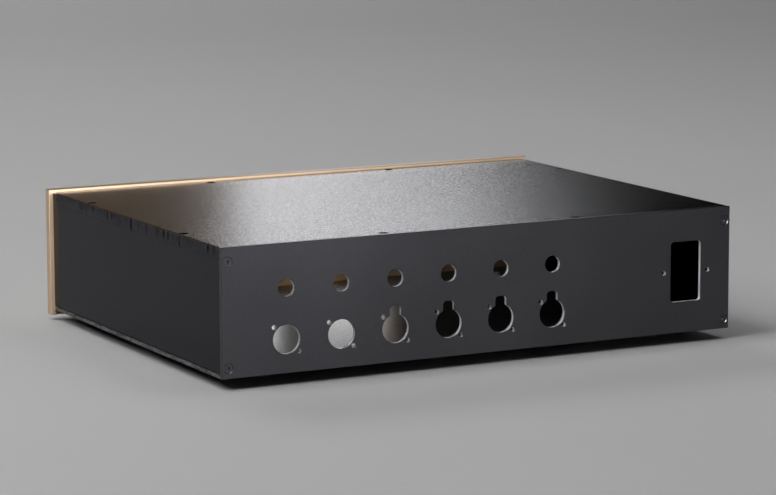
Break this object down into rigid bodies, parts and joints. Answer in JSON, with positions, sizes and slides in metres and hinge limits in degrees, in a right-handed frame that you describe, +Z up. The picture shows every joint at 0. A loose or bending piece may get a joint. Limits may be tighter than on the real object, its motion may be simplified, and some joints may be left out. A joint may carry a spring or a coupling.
{
  "type": "equipment_chassis",
  "caption": "Empty sheet metal equipment chassis with a thick champagne front plate, a black rear plate with connector and mains cut-outs, and rubber feet",
  "frame": {"origin": "on the ground under the middle of the overall box", "axes": "+X right seen from behind, +Y toward the front plate, +Z up"},
  "size_m": [0.445, 0.335, 0.1074],
  "materials": {
    "gold_front": "fine blasted, champagne anodised",
    "black_rear": "satin black anodised",
    "grey_case": "smooth dark grey coating",
    "frame_bars": "as extruded",
    "black_screws": "black oxide",
    "steel_fasteners": "zinc plated",
    "rubber_feet": "matt"
  },
  "bodies": {
    "root": {"front_panel": "gold_front", "rear_panel": "black_rear", "top_cover": "grey_case", "bottom_plate": "grey_case", "left_side_panel": "grey_case", "right_side_panel": "grey_case", "left_side_bar": "frame_bars", "right_side_bar": "frame_bars", "rear_cross_bar": "frame_bars", "front_cross_bar": "frame_bars", "rear_left_post": "frame_bars", "rear_right_post": "frame_bars", "front_left_post": "frame_bars", "front_right_post": "frame_bars", "rear_panel_screws": "black_screws", "cover_screws": "black_screws", "bottom_plate_screws": "black_screws", "front_panel_screws": "steel_fasteners", "frame_joint_screws": "steel_fasteners", "bottom_plate_nuts": "steel_fasteners", "foot_screws": "steel_fasteners", "foot_washers": "steel_fasteners", "foot_nuts": "steel_fasteners", "rear_left_foot": "rubber_feet", "rear_right_foot": "rubber_feet", "front_left_foot": "rubber_feet", "front_right_foot": "rubber_feet"}
  },
  "joints": []
}
